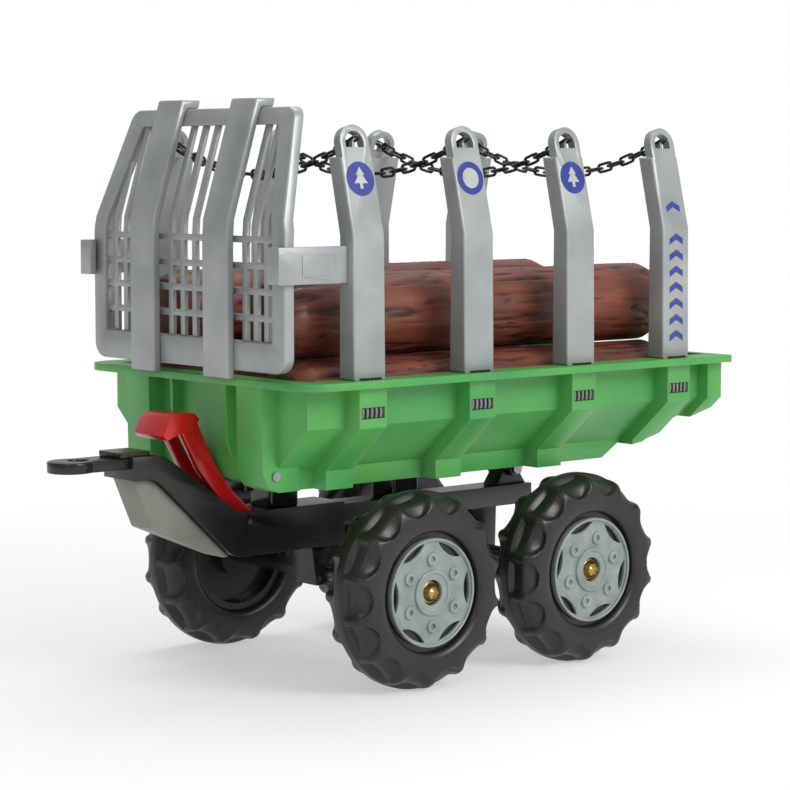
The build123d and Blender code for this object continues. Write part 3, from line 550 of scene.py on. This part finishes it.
def chainStations():
    steps = 400
    ys = [-chain["hookY"] + 2 * chain["hookY"] * i / steps for i in range(steps + 1)]
    reach = [0.0]
    for a, b in zip(ys, ys[1:]):
        reach.append(reach[-1] + math.hypot(b - a, sagAt(b) - sagAt(a)))
    stations = []
    for i in range(chain["links"]):
        target = reach[-1] * i / (chain["links"] - 1)
        y = ys[min(range(steps + 1), key=lambda k: abs(reach[k] - target))]
        stations.append((y, math.atan(2 * chain["sag"] * y / chain["hookY"] ** 2)))
    return stations


linkPattern = makeLink()
for k in range(1, 5):
    node = "chain_%d" % k
    low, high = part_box(node)
    chainX = (low[0] + high[0]) / 2
    links = []
    for i, (y, slope) in enumerate(chainStations()):
        place = Matrix.Translation((chainX, y * mm, (chain["hookZ"] + sagAt(y)) * mm)) @ Matrix.Rotation(slope, 4, "X")
        if i % 2:
            place = place @ Matrix.Rotation(math.pi / 2, 4, "Y")
        links.append(copyPiece(linkPattern, "link", place))
    piece = joinPieces(links, node + "_links")
    settle(piece, node, [node], 60)
bpy.data.objects.remove(linkPattern)
print("chains made")

# printed discs with a plain fir tree or growth rings, and marker bars on the last stakes
emblem = {
    "radius": 18.6, "z": 560.0, "thick": 0.5, "lift": 0.05, "ringRadius": 11.5, "markThick": 0.25,
    "tree": [(0, 13), (6, 4), (3, 4), (9, -5), (2, -5), (2, -11), (-2, -11), (-2, -5), (-9, -5), (-3, 4), (-6, 4)],
}
bars = {
    "outline": [(-11, -5), (0, 1), (11, -5), (11, 2), (0, 8), (-11, 2)],
    "count": 9, "first": 372.0, "pitch": 19.0, "bend": (494, 508), "thick": 0.4,
}
stake = {"first": -140.5, "pitch": 157.0, "rimZ": 347.0, "bendZ": 500.0, "shoulderZ": 583.0,
         "rimY": 195.0, "bendY": 193.0, "shoulderY": 172.98}


def stakeFace(node, z):
    # side, distance from the middle and inward lean of a stake's outer face at a height
    side = -1 if node.endswith("left") else 1
    if z < stake["bendZ"]:
        height, fall = stake["bendZ"] - stake["rimZ"], stake["rimY"] - stake["bendY"]
        y = stake["rimY"] - fall * (z - stake["rimZ"]) / height
    else:
        height, fall = stake["shoulderZ"] - stake["bendZ"], stake["bendY"] - stake["shoulderY"]
        y = stake["bendY"] - fall * (z - stake["bendZ"]) / height
    return side, y, math.atan(fall / height)


def facePlace(node, x, z, lift):
    side, y, lean = stakeFace(node, z)
    outward = Vector((0, side * math.cos(lean), math.sin(lean)))
    across = Vector((-side, 0, 0))
    up = outward.cross(across)
    turn = Matrix((across, up, outward)).transposed().to_4x4()
    return Matrix.Translation(Vector((x * mm, side * y * mm, z * mm)) + outward * lift * mm) @ turn


def filmShape(name, outline, material, thick):
    count = len(outline)
    points = [(x * mm, y * mm, h * mm) for h in (0, thick) for x, y in outline]
    faces = [tuple(reversed(range(count))), tuple(range(count, 2 * count))]
    faces += [(i, (i + 1) % count, count + (i + 1) % count, count + i) for i in range(count)]
    return newPiece(name, material, points, faces)


def circleOutline(radius, turns=48):
    angles = [2 * math.pi * i / turns for i in range(turns)]
    return [(radius * math.cos(angle), radius * math.sin(angle)) for angle in angles]


films = []
for hand in ("left", "right"):
    for k in (1, 2, 3):
        node = "stake_%d_%s" % (k, hand)
        x = stake["first"] + stake["pitch"] * (k - 1)
        disc = filmShape("disc", circleOutline(emblem["radius"]), blueFilm, emblem["thick"])
        disc.data.transform(facePlace(node, x, emblem["z"], emblem["lift"]))
        films.append(disc)
        outline = circleOutline(emblem["ringRadius"]) if k == 2 else emblem["tree"]
        mark = filmShape("mark", outline, greyFilm, emblem["markThick"])
        mark.data.transform(facePlace(node, x, emblem["z"], emblem["lift"] + emblem["thick"]))
        films.append(mark)
    node = "stake_4_" + hand
    x = stake["first"] + stake["pitch"] * 3
    for i in range(bars["count"]):
        z = bars["first"] + bars["pitch"] * i
        if bars["bend"][0] < z < bars["bend"][1]:
            continue
        bar = filmShape("bar", bars["outline"], blueFilm, bars["thick"])
        bar.data.transform(facePlace(node, x, z, emblem["lift"]))
        films.append(bar)
filmPiece = joinPieces(films, "stake_films")
settle(filmPiece, "tub", ["emblem_discs"], 30)
print("films made")

# snap clips: a dark back and five slanted grey teeth in each rib's window; black teeth under each stake's foot
clip = {
    "z": 312.0, "face": 197.4,
    "back": [(-15.5, -5.5), (15.5, -5.5), (15.5, 5.5), (-15.5, 5.5)], "backDepth": 3.4, "backThick": 2.0,
    "tooth": [(-1.6, -5.2), (1.2, -5.2), (2.0, 0), (1.6, 5.2), (-1.2, 5.2), (-0.6, 0)],
    "teeth": 5, "firstTooth": -12.4, "toothPitch": 6.2, "toothDepth": 1.6, "toothThick": 1.8,
}
foot = {"tooth": [(-1.5, 0), (1.5, 0), (1.5, 2.2), (-1.5, 2.2)], "teeth": 6, "firstTooth": -12.5, "pitch": 5.0,
        "y": 195.0, "z": 347.1, "thick": 2.4}


def clipPart(name, outline, material, thick, x, y, z, side):
    # a flat moulding stood upright against one side of the tub or stake
    part = filmShape(name, outline, material, thick)
    turn = Matrix.Rotation(side * -math.pi / 2, 4, "X")
    part.data.transform(Matrix.Translation((x * mm, side * y * mm, z * mm)) @ turn)
    return part


clipParts = []
for side in (-1, 1):
    for k in range(4):
        x = stake["first"] + stake["pitch"] * k
        clipParts.append(clipPart("clip_back", clip["back"], chainPlastic, clip["backThick"],
                                  x, clip["face"] - clip["backDepth"], clip["z"], side))
        for i in range(clip["teeth"]):
            toothX = x + clip["firstTooth"] + clip["toothPitch"] * i
            clipParts.append(clipPart("clip_tooth", clip["tooth"], clipPlastic, clip["toothThick"],
                                      toothX, clip["face"] - clip["toothDepth"], clip["z"], side))
        for i in range(foot["teeth"]):
            footX = x + foot["firstTooth"] + foot["pitch"] * i
            clipParts.append(clipPart("foot_tooth", foot["tooth"], chainPlastic, foot["thick"],
                                      footX, foot["y"], foot["z"], side))
clips = joinPieces(clipParts, "clip_teeth")
bpy.ops.object.mode_set(mode="EDIT")
bpy.ops.mesh.select_all(action="SELECT")
bpy.ops.mesh.normals_make_consistent(inside=False)
bpy.ops.object.mode_set(mode="OBJECT")
settle(clips, "tub", ["stake_clips"], 30)

# studio: pale floor, big soft lights, camera at the left front, a little above the load
studio = {
    "cameraPlace": (-1.8423, -2.2364, 0.5766), "azimuth": -40.38, "elevation": 5.28, "lens": 114.4,
    "floor": "fafaf8", "world": "ffffff", "worldStrength": 0.6, "flag": 0.3,
}
floorMaterial, floorTree, floorShader, floorPlace = newMaterial("glowing_paper_backdrop", {"Roughness": 0.9})
floorTone = addNode(floorTree, "ShaderNodeTexNoise", {"Scale": 2.0}, Vector=floorPlace)
floorRamp = addNode(floorTree, "ShaderNodeValToRGB", {}, Fac=floorTone.outputs["Fac"])
floorRamp.color_ramp.elements[0].color = hexColour("f6f6f4")
floorRamp.color_ramp.elements[1].color = hexColour(studio["floor"])
floorTree.links.new(floorRamp.outputs["Color"], floorShader.inputs["Base Color"])
# painted light: the backdrop glows, 45% emission near the trailer (lightening its cast shadow) rising to full emission
# far off, so no horizon shows
floorReach = addNode(floorTree, "ShaderNodeVectorMath", {"operation": "LENGTH"})
floorTree.links.new(floorPlace, floorReach.inputs[0])
floorGlow = addNode(floorTree, "ShaderNodeMapRange", {
    "From Min": 0.25, "From Max": 1.5, "To Min": 0.45, "To Max": 1.0,
}, Value=floorReach.outputs["Value"])
floorShine = addNode(floorTree, "ShaderNodeEmission", {"Strength": 1.0})
floorMix = addNode(floorTree, "ShaderNodeMixShader", {}, Fac=floorGlow.outputs["Result"])
floorTree.links.new(floorShader.outputs["BSDF"], floorMix.inputs[1])
floorTree.links.new(floorShine.outputs["Emission"], floorMix.inputs[2])
floorOut = next(n for n in floorTree.nodes if n.type == "OUTPUT_MATERIAL")
floorTree.links.new(floorMix.outputs["Shader"], floorOut.inputs["Surface"])
bpy.ops.object.select_all(action="DESELECT")
bpy.ops.mesh.primitive_plane_add(size=30, location=(0, 0, -0.0005))
floor = bpy.context.active_object
floor.name = "floor"
floor.data.materials.append(floorMaterial)

world = bpy.data.worlds.new("studio")
bpy.context.scene.world = world
world.use_nodes = True
sky = world.node_tree
skyLight = sky.nodes["Background"]
skyLight.inputs["Color"].default_value = hexColour(studio["world"])
# the room looks white all round; its light is dimmer than that, and dimmest on the towing side
direction = addNode(sky, "ShaderNodeTexCoord")
axes = addNode(sky, "ShaderNodeSeparateXYZ", {}, Vector=direction.outputs["Generated"])
flag = addNode(sky, "ShaderNodeMapRange", {"From Min": -1.0, "From Max": 0.0, "To Min": studio["flag"],
                                           "To Max": studio["worldStrength"]}, Value=axes.outputs["X"])
seen = addNode(sky, "ShaderNodeLightPath")
strength = addNode(sky, "ShaderNodeMath", {"operation": "MAXIMUM"})
sky.links.new(flag.outputs["Result"], strength.inputs[0])
sky.links.new(seen.outputs["Is Camera Ray"], strength.inputs[1])
sky.links.new(strength.outputs["Value"], skyLight.inputs["Strength"])
bpy.context.scene.view_settings.view_transform = "Standard"


def softbox(name, place, aim, size, power):
    lamp = bpy.data.lights.new(name, "AREA")
    lamp.shape = "RECTANGLE"
    lamp.size, lamp.size_y = size
    lamp.energy = power
    box = bpy.data.objects.new(name, lamp)
    bpy.context.collection.objects.link(box)
    box.location = place
    box.rotation_euler = (Vector(aim) - Vector(place)).to_track_quat("-Z", "Y").to_euler()


softbox("key", (0.6, -2.6, 1.7), (0, 0, 0.3), (1.3, 1.1), 48)
softbox("front", (-2.2, -1.6, 1.6), (0, 0, 0.35), (0.5, 0.9), 7)
softbox("top", (0.4, 0.6, 2.4), (0, 0, 0.3), (1.5, 1.0), 20)

camera = bpy.data.cameras.new("camera")
camera.lens = studio["lens"]
camera.sensor_width = 36.0
cameraObject = bpy.data.objects.new("camera", camera)
bpy.context.collection.objects.link(cameraObject)
azimuth = math.radians(studio["azimuth"])
elevation = math.radians(studio["elevation"])
backward = Vector((math.sin(azimuth) * math.cos(elevation), -math.cos(azimuth) * math.cos(elevation),
                   math.sin(elevation)))
rightward = Vector((math.cos(azimuth), math.sin(azimuth), 0))
upward = backward.cross(rightward)
turned = Matrix((rightward, upward, backward)).transposed().to_4x4()
cameraObject.matrix_world = Matrix.Translation(studio["cameraPlace"]) @ turned
bpy.context.scene.camera = cameraObject
print("studio ready")
